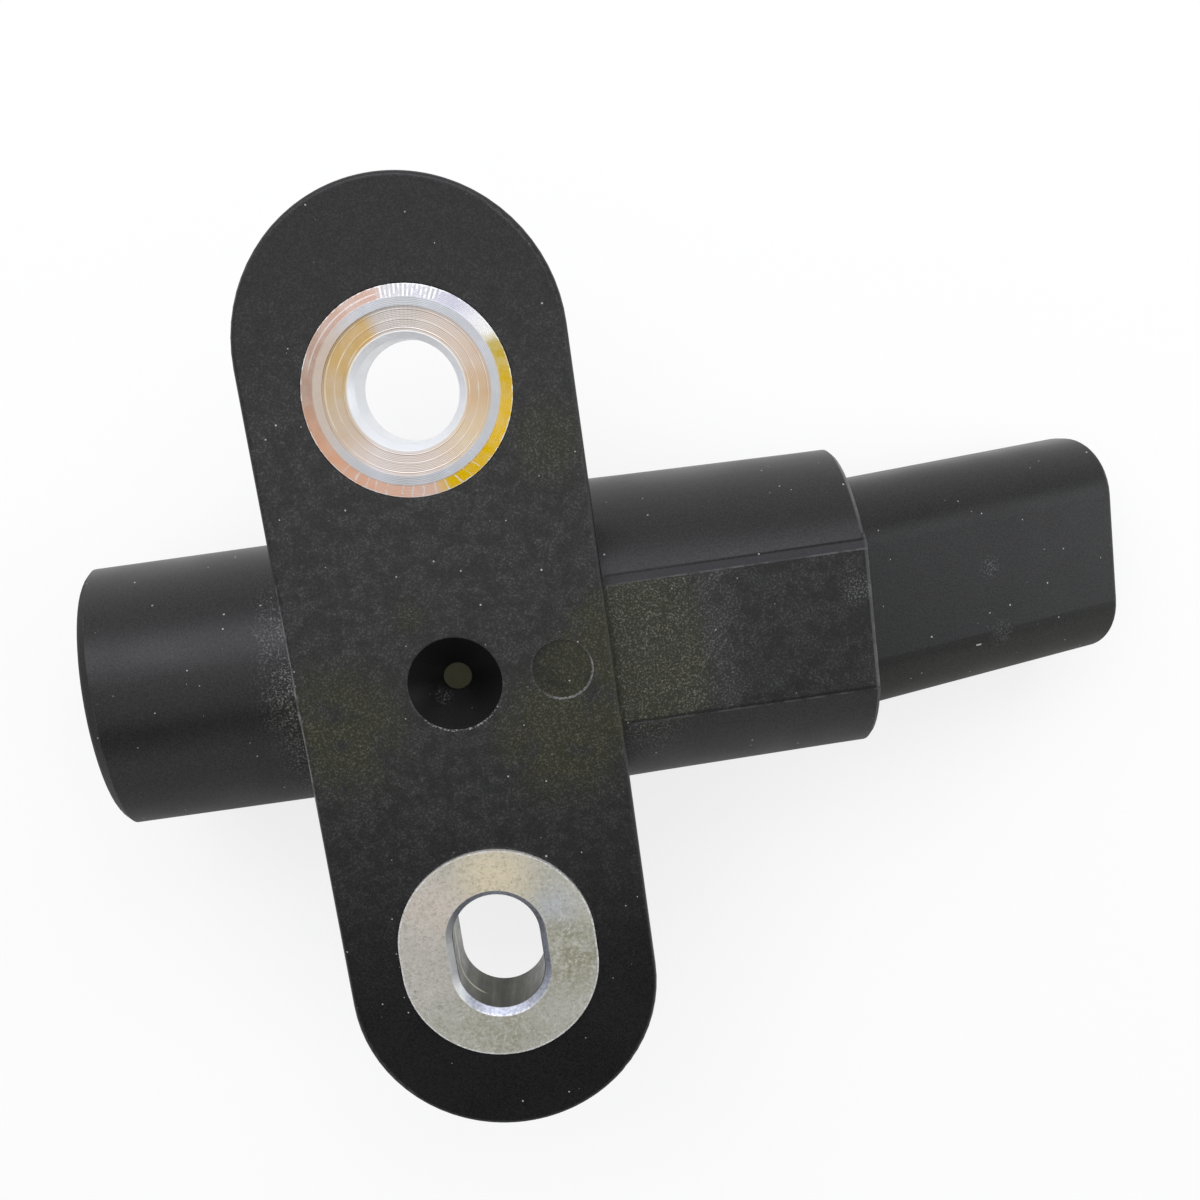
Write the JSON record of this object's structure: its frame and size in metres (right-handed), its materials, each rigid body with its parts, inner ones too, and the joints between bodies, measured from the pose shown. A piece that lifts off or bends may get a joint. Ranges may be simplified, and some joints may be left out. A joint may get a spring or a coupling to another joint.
{
  "type": "crankshaft position sensor",
  "caption": "Inductive crankshaft position sensor: a round probe and barrel moulded across a flange plate with metal bushes, and a tilted plug shroud.",
  "frame": {"origin": "centre of the round bush's bore on the back face of the flange plate", "axes": "+Z out of the plate's front face, +X along the barrel towards the plug, +Y from the slotted bush to the round bush"},
  "size_m": [0.0834, 0.0692, 0.0251],
  "materials": {
    "black_plastic": "black glass-filled plastic with a fine grain",
    "turned_bush": "turned steel with a yellow passivated tint",
    "zinc_bush": "dull zinc plate with olive stains",
    "bobbin_plastic": "olive plastic",
    "copper": "enamelled copper wire",
    "tape": "amber film wrap",
    "iron": "bare soft iron",
    "magnet": "dark sintered magnet",
    "contact": "tin-plated brass strip"
  },
  "bodies": {
    "root": {"housing": "black_plastic", "round_bush": "turned_bush", "slotted_bush": "zinc_bush", "bobbin": "bobbin_plastic", "coil_winding": "copper", "coil_tape": "tape", "pole_piece": "iron", "magnet": "magnet", "blade_signal": "contact", "blade_return": "contact", "lead_start": "copper", "lead_finish": "copper"}
  },
  "joints": []
}
